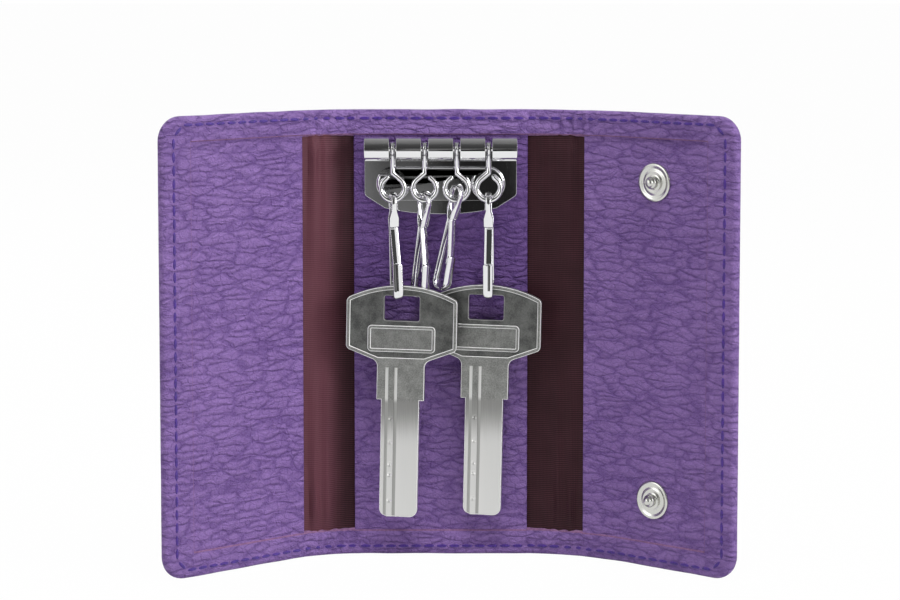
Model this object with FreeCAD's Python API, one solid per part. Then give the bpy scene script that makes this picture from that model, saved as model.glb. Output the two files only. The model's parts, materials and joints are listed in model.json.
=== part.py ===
import FreeCAD, Part
import math
import os

os.makedirs("parts", exist_ok=True)
Vec = FreeCAD.Vector
Turn = FreeCAD.Rotation
AXIS_X = Vec(1, 0, 0)
AXIS_Y = Vec(0, 1, 0)
AXIS_Z = Vec(0, 0, 1)

# Frame, in mm: X to the right, Z up from the standing edge, and the open side faces -Y.
# Y is 0 on the lining's inner face, where the leather folds.

# Case, unfolded
case_height = 105.0
corner_radius = 5.5
corner_inset_share = 0.8
left_fold_offset = 22.4
right_fold_offset = 24.0
left_spine_width = 10.8
right_spine_width = 14.7
left_flap_width = 39.5
right_flap_width = 37.4
left_fold_degrees = 20.3
right_fold_degrees = 19.85
centre_facing_half = 20.3
facing_lap_on_spine = 4.6

# Leather, cloth and board layers
cover_thickness = 0.85
stiffener_thickness = 0.3
lining_thickness = 0.2
facing_thickness = 0.7
hem_thickness = 0.45
hem_width = 5.7
hem_side_width = 7.8
edge_wall = 0.8
edge_rounding = 0.75
layer_clearance = 0.05
fold_clearance = 0.05
mitre_degrees = 46.0
cut_overrun = 4.0
parallel_share = 0.9

# Key plate
plate_width = 35.4
plate_thickness = 0.5
plate_side_drop = 11.0
plate_corner_half = 13.0
plate_corner_drop = 14.0
plate_drop = 16.5
roll_radius = 2.8
roll_hem_clearance = 0.5
roll_open_degrees = 55.0
slot_width = 1.65
slot_top_rise = 1.2
loop_pitch = 7.43
loop_count = 4
plate_corner_rounding = 0.6

# Rod in the roll
rod_radius = 0.6
rod_head_length = 1.4
rod_head_clearance = 0.03

# Rivets through the plate
rivet_half_spacing = 11.0
rivet_drop = 8.2
rivet_radius = 4.0
rivet_dome = 1.0
rivet_shaft_radius = 1.5
rivet_hole_clearance = 0.05
washer_radius = 3.0

# Wire loops
wire_radius = 0.55
eye_clearance = 0.08
ring_radius = 2.75
ring_drop = 9.2
ring_apex_rise = 3.6
ring_end_gap = 0.15
loop_tilt_degrees = -4.5

# Snap clips
strip_thickness = 0.42
strip_width = 2.3
eye_strip_width = 1.2
eye_inner_radius = 1.7
eye_drop = 0.55
eye_taper_top = 2.4
eye_taper_bottom = 4.2
waist_drop = 6.2
waist_half_gap = 0.55
strap_end_drop = 6.0
hook_inner_radius = 1.98
hook_drop = 20.83
tip_rise = 5.8

# Sprung gates
gate_thickness = 0.35
gate_width = 1.9
knuckle_radius = 0.3
knuckle_drop = 6.5
gate_bend_drop = 14.6
gate_end_drop = 16.4
gate_tuck = 0.3
gate_tip_gap = 0.07

# Keys
key_thickness = 1.8
key_head_width = 25.8
key_head_height = 17.7
key_arch = 3.2
key_side_drop = 14.9
key_neck_width = 11.1
key_neck_length = 9.0
key_blade_width = 8.9
key_blade_length = 27.5
key_web = 2.35
key_hole_width = 8.2
key_hole_height = 5.85
key_hole_rounding = 0.5
key_corner_rounding = 1.3
key_tip_rounding = 1.9
key_neck_rounding = 1.8
key_rim = 0.9
key_recess = 0.25
key_frame_width = 15.8
key_frame_height = 6.2
key_frame_line = 0.8
key_frame_drop = 12.4
key_frame_rounding = 1.0
key_web_drop = 1.2
groove_width = 0.75
groove_depth = 0.4
groove_top_gap = 1.4
groove_shares = (-0.36, -0.125)
dimple_place_share = -0.242
dimple_radius = 0.65
dimple_depth = 0.5
dimple_shares = (0.16, 0.36, 0.55, 0.64, 0.86)

# Press studs and sockets
stud_along_flap = 14.9
stud_edge_distance = 15.8
stud_flange_radius = 4.45
stud_flange_height = 0.5
stud_rim_height = 0.3
stud_rim_width = 0.8
stud_height = 2.85
stud_ball_radius = 1.45
stud_neck_radius = 1.1
stud_post_radius = 1.0
stud_foot_radius = 3.6
snap_clearance = 0.1
socket_radius = 4.3
socket_height = 1.2
socket_barrel_radius = 2.5
socket_cap_radius = 3.6
socket_rounding = 0.5

# How each hook hangs: turn about Z, lean about Y, tilt about X in degrees, and lift
clip_turn_degrees = (13.0, 35.0, 35.0, -6.0)
clip_lean_degrees = (-2.6, 3.2, 9.3, 0.0)
clip_tilt_degrees = (-7.0, 2.0, 2.8, 0.4)
clip_lifts = (0.0, 0.0, 1.8, 0.0)
key_shifts = (1.4, -0.4)
key_lean_degrees = (1.2, 1.2)
key_turn_degrees = (-6.0, -8.0)

# Places that follow from the sizes above
facing_front = -facing_thickness
hem_front = facing_front - hem_thickness
low_hem_front = -hem_thickness
lining_back = lining_thickness
stiffener_back = lining_back + stiffener_thickness
cover_back = stiffener_back + cover_thickness
tuck_inset = edge_wall + layer_clearance
plate_front = facing_front - plate_thickness
roll_y = facing_front - roll_radius
roll_height = case_height - hem_width - roll_hem_clearance - roll_radius
plate_side_bottom = roll_height - plate_side_drop
plate_corner_height = roll_height - plate_corner_drop
plate_bottom = roll_height - plate_drop
rivet_height = roll_height - rivet_drop
ring_height = roll_height - ring_drop
loop_places = [loop_pitch * (n - (loop_count - 1) / 2) for n in range(loop_count)]
ring_bottom = ring_height - ring_radius
stud_heights = (stud_edge_distance, case_height - stud_edge_distance)
closed_stud_x = right_fold_offset - stud_along_flap
socket_along_flap = closed_stud_x + left_fold_offset


def box(x0, x1, y0, y1, z0, z1):
    return Part.makeBox(x1 - x0, y1 - y0, z1 - z0, Vec(x0, y0, z0))


def cylinder(radius, base, along):
    return Part.makeCylinder(radius, along.Length, base, along)


def prism(points, along):
    """A straight-sided outline, closed and pushed along a vector."""
    return Part.Face(Part.makePolygon(points + points[:1])).extrude(along)


def turned(profile, base, direction):
    """A solid of revolution from (radius, height) points, from base along direction."""
    points = [Vec(r, 0, h) for r, h in profile]
    solid = Part.Face(Part.makePolygon(points + points[:1])).revolve(Vec(), AXIS_Z, 360)
    solid.Placement = FreeCAD.Placement(base, Turn(AXIS_Z, direction))
    return solid


def dome(radius, rise, base, direction):
    """A shallow spherical cap, standing on base."""
    edge = Part.Arc(Vec(radius, 0, 0), *cap_points(radius, rise)).toShape()
    floor = Part.makeLine(Vec(), Vec(radius, 0, 0))
    axis = Part.makeLine(Vec(0, 0, rise), Vec())
    solid = Part.Face(Part.Wire([floor, edge, axis])).revolve(Vec(), AXIS_Z, 360)
    solid.Placement = FreeCAD.Placement(base, Turn(AXIS_Z, direction))
    return solid


def cap_points(radius, rise):
    """The middle and the top of a cap's meridian."""
    sphere = (radius * radius + rise * rise) / (2 * rise)
    half = math.asin(radius / sphere) / 2
    return Vec(sphere * math.sin(half), 0, sphere * math.cos(half) - sphere + rise), Vec(0, 0, rise)


def rounded_edges(solid, radius, wanted):
    return solid.makeFillet(radius, [e for e in solid.Edges if wanted(e)])


def runs_along(edge, axis):
    """Whether an edge starts out along an axis."""
    return abs(edge.tangentAt(edge.FirstParameter).dot(axis)) > parallel_share


def moved(shape, placement):
    copy = shape.copy()
    copy.Placement = placement.multiply(copy.Placement)
    return copy


def turn_about(point, axis, degrees):
    return FreeCAD.Placement(Vec(), Turn(axis, degrees), point)


def union(shapes):
    return shapes[0].multiFuse(shapes[1:]).removeSplitter()


def save(name, solids):
    shape = solids[0] if len(solids) == 1 else Part.makeCompound(solids)
    shape.exportStep("parts/" + name + ".step")
    report = [s.isValid() and len(s.Solids) == 1 for s in solids]
    print(name, len(solids), all(report), round(shape.Volume, 2))


# Panels are laid out flat, side -1 to the left and +1 to the right, and then folded up.
class Side:
    def __init__(self, name, side, offset, spine, flap, degrees):
        self.name = name
        self.side = side
        self.inner = side * offset
        self.outer = side * (offset + spine)
        self.edge = side * (offset + spine + flap)
        self.spine_fold = turn_about(Vec(self.inner, 0, 0), AXIS_Z, -side * degrees)
        crease = turn_about(Vec(self.outer, 0, 0), AXIS_Z, -side * degrees)
        self.flap_fold = self.spine_fold.multiply(crease)


LEFT = Side("left", -1, left_fold_offset, left_spine_width, left_flap_width, left_fold_degrees)
RIGHT = Side("right", 1, right_fold_offset, right_spine_width, right_flap_width, right_fold_degrees)


def mitre(solid, fold_x, toward):
    """Trim the layers in front of a fold, so that it can close to a right angle."""
    reach = cut_overrun
    slope = reach * math.tan(math.radians(mitre_degrees))
    points = [(0, 0), (toward * slope, -reach), (-toward * reach, -reach), (-toward * reach, 0)]
    start = [Vec(fold_x + dx, dy, -reach) for dx, dy in points]
    return solid.cut(prism(start, Vec(0, 0, case_height + reach + reach)))


def span_blank(x0, x1, front):
    """Covered thickness of a straight stretch, with its long edges rounded."""
    blank = box(x0, x1, front, cover_back, 0, case_height)
    return rounded_edges(blank, edge_rounding, lambda e: runs_along(e, AXIS_X))


def span_hollow(x0, x1, under, front):
    """What a stretch of cover leaves open: its pocket for the layers, and the window in the hem."""
    pocket = box(x0, x1, under, stiffener_back, edge_wall, case_height - edge_wall)
    window = box(x0, x1, front - cut_overrun, stiffener_back, hem_width, case_height - hem_width)
    return [pocket, window]


def straight_cover(spans, ends):
    """A cover turned over at its top and bottom. Each span is (x0, x1, whether a facing lies in it)."""
    blanks = []
    hollows = []
    for x0, x1, faced in spans:
        front = hem_front if faced else low_hem_front
        blanks.append(span_blank(x0, x1, front))
        hollows += span_hollow(x0, x1, facing_front if faced else 0, front)
    solid = union(blanks) if len(blanks) > 1 else blanks[0]
    solid = solid.cut(union(hollows))
    for fold_x, toward in ends:
        solid = mitre(solid, fold_x, toward)
    return solid


def flap_outline(side, start, inset, y):
    """A flap's outline with its two free corners rounded, set in from the edges."""
    edge = side.edge - side.side * inset
    radius = corner_radius - min(inset, corner_radius * corner_inset_share)
    low = inset
    high = case_height - inset
    bend = radius * (1 - math.sqrt(0.5))
    in_x = edge - side.side * radius
    mid_x = edge - side.side * bend
    rim = [
        Part.makeLine(Vec(start, y, low), Vec(in_x, y, low)),
        Part.Arc(Vec(in_x, y, low), Vec(mid_x, y, low + bend), Vec(edge, y, low + radius)).toShape(),
        Part.makeLine(Vec(edge, y, low + radius), Vec(edge, y, high - radius)),
        Part.Arc(Vec(edge, y, high - radius), Vec(mid_x, y, high - bend), Vec(in_x, y, high)).toShape(),
        Part.makeLine(Vec(in_x, y, high), Vec(start, y, high)),
        Part.makeLine(Vec(start, y, high), Vec(start, y, low)),
    ]
    return Part.Face(Part.Wire(rim))


def flap_slab(side, start, inset, front, back):
    return flap_outline(side, start, inset, front).extrude(Vec(0, back - front, 0))


def flap_cover(side):
    """Outer leather of a flap, turned over its three free edges."""
    start = side.outer + side.side * fold_clearance
    blank = flap_slab(side, start, 0, hem_front, cover_back)

    def on_rim(edge):
        middle = edge.valueAt((edge.FirstParameter + edge.LastParameter) / 2)
        return not runs_along(edge, AXIS_Y) and abs(middle.x - start) > layer_clearance

    blank = rounded_edges(blank, edge_rounding, on_rim)
    opened = side.outer - side.side * cut_overrun
    pocket = flap_slab(side, opened, edge_wall, facing_front, stiffener_back)
    x0, x1 = sorted((opened, side.edge - side.side * hem_side_width))
    window = box(x0, x1, hem_front - cut_overrun, stiffener_back, hem_width, case_height - hem_width)
    return mitre(blank.cut(pocket).cut(window), side.outer, side.side)


def holed(solid, radius, places, y0, y1):
    for x, z in places:
        solid = solid.cut(cylinder(radius, Vec(x, y0, z), Vec(0, y1 - y0, 0)))
    return solid


def build_centre_layers():
    left = LEFT.inner + fold_clearance
    right = RIGHT.inner - fold_clearance
    half = centre_facing_half
    spans = [(left, -half, False), (-half, half, True), (half, right, False)]
    ends = [(LEFT.inner, 1), (RIGHT.inner, -1)]
    save("centre_cover", [straight_cover(spans, ends)])
    low = tuck_inset
    high = case_height - tuck_inset
    rivets = [(-rivet_half_spacing, rivet_height), (rivet_half_spacing, rivet_height)]
    shaft_hole = rivet_shaft_radius + rivet_hole_clearance
    washer_hole = washer_radius + rivet_hole_clearance
    stiffener = box(left, right, lining_back, stiffener_back, low, high)
    save("centre_stiffener", [holed(stiffener, washer_hole, rivets, lining_back, stiffener_back)])
    lining = box(left, right, 0, lining_back, low, high)
    save("centre_lining", [holed(lining, shaft_hole, rivets, 0, lining_back)])
    inset = layer_clearance
    facing = box(inset - half, half - inset, facing_front, 0, low, high)
    save("centre_facing", [holed(facing, shaft_hole, rivets, facing_front, 0)])
    build_rivets(rivets)


def build_rivets(places):
    caps = []
    washers = []
    for x, z in places:
        head = dome(rivet_radius, rivet_dome, Vec(x, plate_front, z), -AXIS_Y)
        shaft_length = stiffener_back - plate_front
        shaft = cylinder(rivet_shaft_radius, Vec(x, plate_front, z), Vec(0, shaft_length, 0))
        caps.append(union([head, shaft]))
        length = Vec(0, stiffener_back - lining_back, 0)
        disc = cylinder(washer_radius, Vec(x, lining_back, z), length)
        bore = cylinder(rivet_shaft_radius + rivet_hole_clearance, Vec(x, lining_back, z), length)
        washers.append(disc.cut(bore))
    save("plate_rivets", caps)
    save("rivet_washers", washers)


def spine_box(side, front, back):
    x0, x1 = sorted((side.inner + side.side * fold_clearance, side.outer - side.side * fold_clearance))
    return box(x0, x1, front, back, tuck_inset, case_height - tuck_inset)


def build_spine(side, lap):
    """The strip between a side's two folds. A lap is how far the flap's facing runs onto it."""
    near = side.inner + side.side * fold_clearance
    far = side.outer - side.side * fold_clearance
    step = far - side.side * lap
    spans = [(*sorted((near, step)), False)]
    if lap:
        spans.append((*sorted((step, far)), True))
    ends = [(side.inner, side.side), (side.outer, -side.side)]
    solids = {
        "cover": straight_cover(spans, ends),
        "backing": spine_box(side, lining_back, stiffener_back),
        "lining": spine_box(side, 0, lining_back),
    }
    if lap:
        x0, x1 = sorted((step + side.side * layer_clearance, far))
        strip = box(x0, x1, facing_front, 0, tuck_inset, case_height - tuck_inset)
        solids["facing_edge"] = mitre(strip, side.outer, -side.side)
    for name, solid in solids.items():
        save(side.name + "_spine_" + name, [moved(solid, side.spine_fold)])


def build_flap(side, cover_hole, inner_hole, facing_hole, along):
    """A flap's layers, with holes for the snap parts at the given distance from its fold."""
    start = side.outer + side.side * fold_clearance
    places = [(side.outer + side.side * along, z) for z in stud_heights]
    cover = flap_cover(side)
    stiffener = flap_slab(side, start, tuck_inset, lining_back, stiffener_back)
    lining = flap_slab(side, start, tuck_inset, 0, lining_back)
    facing = mitre(flap_slab(side, start, tuck_inset, facing_front, 0), side.outer, side.side)
    if cover_hole:
        cover = holed(cover, cover_hole, places, stiffener_back, cover_back)
    if facing_hole:
        facing = holed(facing, facing_hole, places, facing_front, 0)
    solids = {
        "cover": cover,
        "stiffener": holed(stiffener, inner_hole, places, lining_back, stiffener_back),
        "lining": holed(lining, inner_hole, places, 0, lining_back),
        "facing": facing,
    }
    for name, solid in solids.items():
        save(side.name + "_flap_" + name, [moved(solid, side.flap_fold)])


def build_studs():
    """Press studs inside the right flap: a dished cap in front, and a foot behind the facing."""
    studs = []
    feet = []
    rim_in = stud_flange_radius - stud_rim_width
    ball_base = stud_height - stud_ball_radius
    for z in stud_heights:
        base = Vec(RIGHT.outer + stud_along_flap, facing_front, z)
        flange = turned(
            [
                (0, 0),
                (stud_flange_radius - stud_rim_height, 0),
                (stud_flange_radius, stud_rim_height),
                (stud_flange_radius - stud_rim_height, stud_flange_height),
                (rim_in, stud_flange_height),
                (rim_in - stud_rim_height, stud_rim_height),
                (0, stud_rim_height),
            ],
            base,
            -AXIS_Y,
        )
        neck = cylinder(stud_neck_radius, base, Vec(0, -ball_base, 0))
        ball = Part.makeSphere(stud_ball_radius, base - Vec(0, ball_base, 0))
        bore_start = base + Vec(0, cut_overrun, 0)
        bore = cylinder(stud_post_radius, bore_start, Vec(0, -cut_overrun - ball_base, 0))
        studs.append(union([flange, neck, ball]).cut(bore))
        foot_base = Vec(base.x, layer_clearance, z)
        foot_thickness = stiffener_back - layer_clearance - layer_clearance
        foot = cylinder(stud_foot_radius, foot_base, Vec(0, foot_thickness, 0))
        post_end = -ball_base + stud_post_radius + facing_front
        post = cylinder(stud_post_radius - snap_clearance, foot_base, Vec(0, post_end, 0))
        feet.append(union([foot, post]))
    save("snap_studs", [moved(s, RIGHT.flap_fold) for s in studs])
    save("stud_feet", [moved(f, RIGHT.flap_fold) for f in feet])


def build_sockets():
    """Snap sockets outside the left flap, each with a cap under the facing."""
    sockets = []
    caps = []
    bore_radius = stud_ball_radius + snap_clearance
    for z in stud_heights:
        x = LEFT.outer - socket_along_flap
        face = Vec(x, cover_back, z)
        flange = cylinder(socket_radius, face, Vec(0, socket_height, 0))
        top = cover_back + socket_height
        flange = rounded_edges(flange, socket_rounding, lambda e: e.CenterOfMass.y > top - layer_clearance)
        barrel = cylinder(socket_barrel_radius, face, Vec(0, -cover_thickness, 0))
        bore = cylinder(bore_radius, Vec(x, stiffener_back, z), Vec(0, top, 0))
        sockets.append(union([flange, barrel]).cut(bore))
        disc_thickness = stiffener_back - layer_clearance
        disc = cylinder(socket_cap_radius, Vec(x, layer_clearance, z), Vec(0, disc_thickness, 0))
        well = cylinder(bore_radius, Vec(x, lining_back, z), Vec(0, stiffener_back, 0))
        caps.append(disc.cut(well))
    save("snap_sockets", [moved(s, LEFT.flap_fold) for s in sockets])
    save("socket_caps", [moved(c, LEFT.flap_fold) for c in caps])


def build_key_plate():
    """A shield of sheet whose top is rolled forward into a slotted knuckle."""
    half = plate_width / 2
    y = facing_front
    right_arc = Vec(plate_corner_half, y, plate_corner_height)
    left_arc = Vec(-plate_corner_half, y, plate_corner_height)
    sides = [
        Part.makePolygon([left_arc, Vec(-half, y, plate_side_bottom), Vec(-half, y, roll_height)]),
        Part.makeLine(Vec(-half, y, roll_height), Vec(half, y, roll_height)),
        Part.makePolygon([Vec(half, y, roll_height), Vec(half, y, plate_side_bottom), right_arc]),
        Part.Arc(right_arc, Vec(0, y, plate_bottom), left_arc).toShape(),
    ]
    edges = [e for s in sides for e in s.Edges]
    shield = Part.Face(Part.Wire(Part.__sortEdges__(edges))).extrude(Vec(0, -plate_thickness, 0))

    def low_corner(edge):
        return runs_along(edge, AXIS_Y) and edge.CenterOfMass.z < roll_height - roll_radius

    shield = rounded_edges(shield, plate_corner_rounding, low_corner)
    base = Vec(-half, roll_y, roll_height)
    length = Vec(plate_width, 0, 0)
    roll = cylinder(roll_radius, base, length).cut(cylinder(roll_radius - plate_thickness, base, length))
    reach = roll_radius + cut_overrun
    angle = math.radians(roll_open_degrees)
    wedge = [(0, 0), (reach, 0), (reach, -reach), (reach * math.cos(angle), -reach * math.sin(angle))]
    roll = roll.cut(prism([base + Vec(0, dy, dz) for dy, dz in wedge], length))
    plate = union([shield, roll])
    for x in loop_places:
        x0 = x - slot_width / 2
        x1 = x + slot_width / 2
        over = roll_height + roll_radius + cut_overrun
        under = roll_height - roll_radius - cut_overrun
        plate = plate.cut(box(x0, x1, roll_y - reach, plate_front, under, over))
        plate = plate.cut(box(x0, x1, roll_y - reach, 0, roll_height + slot_top_rise, over))
    hole = rivet_shaft_radius + rivet_hole_clearance
    rivets = [(-rivet_half_spacing, rivet_height), (rivet_half_spacing, rivet_height)]
    save("key_plate", [holed(plate, hole, rivets, plate_front, facing_front)])
    rod = cylinder(rod_radius, base, length)
    head = roll_radius - plate_thickness - rod_head_clearance
    heads = [
        cylinder(head, base, Vec(rod_head_length, 0, 0)),
        cylinder(head, base + length, Vec(-rod_head_length, 0, 0)),
    ]
    save("hinge_rod", [union([rod] + heads)])


def wire_loop():
    """One wire: an eye round the rod, a shank, and a drop-shaped ring that comes back to the shank."""
    rod = Vec(0, roll_y, roll_height)
    eye_radius = rod_radius + eye_clearance + wire_radius
    eye = Part.makeTorus(eye_radius, wire_radius, rod, AXIS_X)
    centre = Vec(0, roll_y, ring_height)
    apex = centre + Vec(0, 0, ring_apex_rise)
    shank = cylinder(wire_radius, apex, Vec(0, 0, roll_height - eye_radius - apex.z))
    spread = math.acos(ring_radius / ring_apex_rise)
    right = centre + Vec(ring_radius * math.sin(spread), 0, ring_radius * math.cos(spread))
    left = Vec(-right.x, right.y, right.z)
    section = Part.Face(Part.Wire(Part.makeCircle(wire_radius, right, apex - right)))
    ring = section.revolve(centre, AXIS_Y, 360 - 2 * math.degrees(spread))
    leg = apex - left
    short_of_shank = (wire_radius + wire_radius + ring_end_gap) / math.sin(math.pi / 2 - spread)
    returning = leg * ((leg.Length - short_of_shank) / leg.Length)
    return union([
        eye,
        shank,
        Part.makeSphere(wire_radius, apex),
        cylinder(wire_radius, right, apex - right),
        ring,
        cylinder(wire_radius, left, returning),
        Part.makeSphere(wire_radius, left + returning),
    ])


def loop_hang(number):
    """A loop's place: on the rod, tilted forward, and every other one turned to face the other way."""
    rod = Vec(0, roll_y, roll_height)
    facing = turn_about(rod, AXIS_Z, 180 * (number % 2))
    tilt = turn_about(rod, AXIS_X, loop_tilt_degrees)
    along = FreeCAD.Placement(Vec(loop_places[number], 0, 0), Turn())
    return along.multiply(tilt).multiply(facing)


def build_loop(number):
    save("loop_%d" % (number + 1), [moved(wire_loop(), loop_hang(number))])


# A clip is laid out in its side view, (forward, up) from the wire it hangs on, and then hung.
def side_point(forward, up):
    return Vec(0, -forward, up)


def tangent_point(point, centre, radius, side):
    """Where a line from a point touches a circle, on its front (+1) or its back (-1)."""
    dx = point[0] - centre[0]
    dy = point[1] - centre[1]
    distance = math.hypot(dx, dy)
    angle = math.atan2(dy, dx) + side * math.acos(radius / distance)
    return centre[0] + radius * math.cos(angle), centre[1] + radius * math.sin(angle)


def strip(edges, thickness, width):
    """A bent strip of even thickness, with round ends, from its middle line."""
    outline = Part.Wire(edges).makeOffset2D(thickness / 2, 0, False, False)
    return Part.Face(outline).extrude(Vec(width, 0, 0)).translated(Vec(-width / 2, 0, 0))


def clip_body():
    eye_middle = eye_inner_radius + strip_thickness / 2
    hook_middle = hook_inner_radius + strip_thickness / 2
    eye = (0, -eye_drop)
    hook = (0, -hook_drop)
    strap_end = (waist_half_gap, -strap_end_drop)
    waist = (-waist_half_gap, -waist_drop)
    front = tangent_point(strap_end, eye, eye_middle, 1)
    back = tangent_point(waist, eye, eye_middle, -1)
    heel = tangent_point(waist, hook, hook_middle, 1)
    toe = (hook_middle, -hook_drop)
    tip = (hook_middle, tip_rise - hook_drop)
    crown = (0, eye_middle - eye_drop)
    low = (0, -hook_drop - hook_middle)
    edges = [
        Part.makeLine(side_point(*strap_end), side_point(*front)),
        Part.Arc(side_point(*front), side_point(*crown), side_point(*back)).toShape(),
        Part.makeLine(side_point(*back), side_point(*waist)),
        Part.makeLine(side_point(*waist), side_point(*heel)),
        Part.Arc(side_point(*heel), side_point(*low), side_point(*toe)).toShape(),
        Part.makeLine(side_point(*toe), side_point(*tip)),
    ]
    body = strip(edges, strip_thickness, strip_width)
    wide = strip_width / 2
    slim = eye_strip_width / 2
    top = eye_middle + strip_thickness
    bottom = hook_drop + hook_middle + strip_thickness
    depth = hook_middle + strip_thickness
    half = [(slim, top), (slim, -eye_taper_top), (wide, -eye_taper_bottom), (wide, -bottom)]
    front_view = half + [(-x, z) for x, z in reversed(half)]
    blank = prism([Vec(x, -depth, z) for x, z in front_view], Vec(0, depth + depth, 0))
    return body.common(blank)


def clip_gate():
    """The sprung bar that closes the hook, rolled to a knuckle at its top."""
    reach = hook_inner_radius - gate_tip_gap - gate_thickness / 2
    top = side_point(0, -knuckle_drop)
    bend = side_point(reach, -gate_bend_drop)
    end = side_point(reach - gate_tuck, -gate_end_drop)
    bar = strip([Part.makeLine(top, bend), Part.makeLine(bend, end)], gate_thickness, gate_width)
    start = top - Vec(gate_width / 2, 0, 0)
    return union([bar, cylinder(knuckle_radius, start, Vec(gate_width, 0, 0))])


def hang(number):
    """Where a clip hangs: on the bottom of its loop's ring, turned, tilted and leaning."""
    place = loop_hang(number).multVec(Vec(0, roll_y, ring_bottom)) + Vec(0, 0, clip_lifts[number])
    turn = Turn(AXIS_Z, clip_turn_degrees[number])
    tilt = Turn(AXIS_X, clip_tilt_degrees[number])
    lean = Turn(AXIS_Y, clip_lean_degrees[number])
    return FreeCAD.Placement(place, lean.multiply(tilt).multiply(turn))


def build_clip(number):
    save("clip_%d" % (number + 1), [moved(clip_body(), hang(number))])
    save("gate_%d" % (number + 1), [moved(clip_gate(), hang(number))])


def key_solid():
    """A flat key seen from the front, with its origin where the hook's curve is centred."""
    y = key_thickness / 2
    crown = key_web - key_web_drop
    half = key_head_width / 2
    neck = key_neck_width / 2
    blade = key_blade_width / 2
    side_top = crown - key_arch
    side_bottom = crown - key_side_drop
    head_bottom = crown - key_head_height
    stop = head_bottom - key_neck_length
    tip = stop - key_blade_length
    arch = Part.Arc(Vec(-half, y, side_top), Vec(0, y, crown), Vec(half, y, side_top)).toShape()
    head = [(half, side_top), (half, side_bottom), (neck, head_bottom)]
    right = head + [(neck, stop), (blade, stop), (blade, tip)]
    rest = [Vec(x, y, z) for x, z in right] + [Vec(-x, y, z) for x, z in reversed(right)]
    outline = Part.Wire([arch] + Part.makePolygon(rest).Edges)
    solid = Part.Face(outline).extrude(Vec(0, -key_thickness, 0))

    def at_tip(edge):
        return runs_along(edge, AXIS_Y) and edge.CenterOfMass.z < tip + layer_clearance

    def in_head(edge):
        return runs_along(edge, AXIS_Y) and edge.CenterOfMass.z > head_bottom + layer_clearance

    def at_neck(edge):
        return runs_along(edge, AXIS_Y) and abs(edge.CenterOfMass.z - head_bottom) < layer_clearance

    solid = rounded_edges(solid, key_tip_rounding, at_tip)
    solid = rounded_edges(solid, key_corner_rounding, in_head)
    solid = rounded_edges(solid, key_neck_rounding, at_neck)
    hole_top = -key_web_drop
    hole = box(-key_hole_width / 2, key_hole_width / 2, -y, y, hole_top - key_hole_height, hole_top)
    hole = rounded_edges(hole, key_hole_rounding, lambda e: runs_along(e, AXIS_Y))
    rim = [Vec(x, y, z) for x, z in head] + [Vec(-x, y, z) for x, z in reversed(head)]
    recess_face = Part.Wire([arch] + Part.makePolygon(rim).Edges).makeOffset2D(-key_rim)
    recess = Part.Face(recess_face).extrude(Vec(0, -key_recess, 0))
    frame_z = crown - key_frame_drop
    recess = recess.cut(key_frame(frame_z, y))
    solid = solid.cut(recess).cut(recess.mirror(Vec(), AXIS_Y)).cut(hole)
    for share in groove_shares:
        x0 = share * key_blade_width - groove_width / 2
        x1 = x0 + groove_width
        top = head_bottom - groove_top_gap
        solid = solid.cut(box(x0, x1, -y, groove_depth - y, tip - cut_overrun, top))
    for share in dimple_shares:
        point = Vec(dimple_place_share * key_blade_width, -y, stop - share * key_blade_length)
        solid = solid.cut(Part.makeCone(dimple_radius, 0, dimple_depth, point, AXIS_Y))
    return solid


def key_frame(middle, y):
    """The raised frame across the key's head, left standing in the recess."""
    outer_x = key_frame_width / 2
    outer_z = key_frame_height / 2
    inner_x = outer_x - key_frame_line
    inner_z = outer_z - key_frame_line
    outer = box(-outer_x, outer_x, -y, y, middle - outer_z, middle + outer_z)
    inner = box(-inner_x, inner_x, -y, y, middle - inner_z, middle + inner_z)
    outer = rounded_edges(outer, key_frame_rounding, lambda e: runs_along(e, AXIS_Y))
    inner = rounded_edges(inner, key_frame_rounding - key_frame_line, lambda e: runs_along(e, AXIS_Y))
    return outer.cut(inner)


def hook_centre(number):
    return hang(number).multVec(Vec(0, 0, -hook_drop))


def build_key(name, number, shift, lean, turn):
    hanging = Turn(AXIS_Z, turn).multiply(Turn(AXIS_Y, lean))
    place = FreeCAD.Placement(hook_centre(number) + hanging.multVec(Vec(shift, 0, 0)), hanging)
    save(name, [moved(key_solid(), place)])


build_centre_layers()
build_spine(LEFT, 0)
build_spine(RIGHT, facing_lap_on_spine)
socket_hole = socket_barrel_radius + layer_clearance
cap_hole = socket_cap_radius + layer_clearance
foot_hole = stud_foot_radius + layer_clearance
build_flap(LEFT, socket_hole, cap_hole, 0, socket_along_flap)
build_flap(RIGHT, 0, foot_hole, stud_post_radius, stud_along_flap)
build_studs()
build_sockets()
build_key_plate()
for loop_number in range(loop_count):
    build_loop(loop_number)
    build_clip(loop_number)
build_key("left_key", 0, key_shifts[0], key_lean_degrees[0], key_turn_degrees[0])
build_key("right_key", loop_count - 1, key_shifts[1], key_lean_degrees[1], key_turn_degrees[1])
for side in (LEFT, RIGHT):
    print(side.name, "flap crease at", side.spine_fold.multVec(Vec(side.outer, 0, 0)))
for loop_number in range(loop_count):
    hung = hang(loop_number)
    wire = loop_hang(loop_number).multVec(Vec(0, roll_y, ring_bottom))
    print("clip", loop_number + 1, "wire", wire, "hook centre", hook_centre(loop_number), end=" ")
    print("gate axis", hung.multVec(Vec(0, 0, -knuckle_drop)), hung.Rotation.multVec(AXIS_X))
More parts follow.
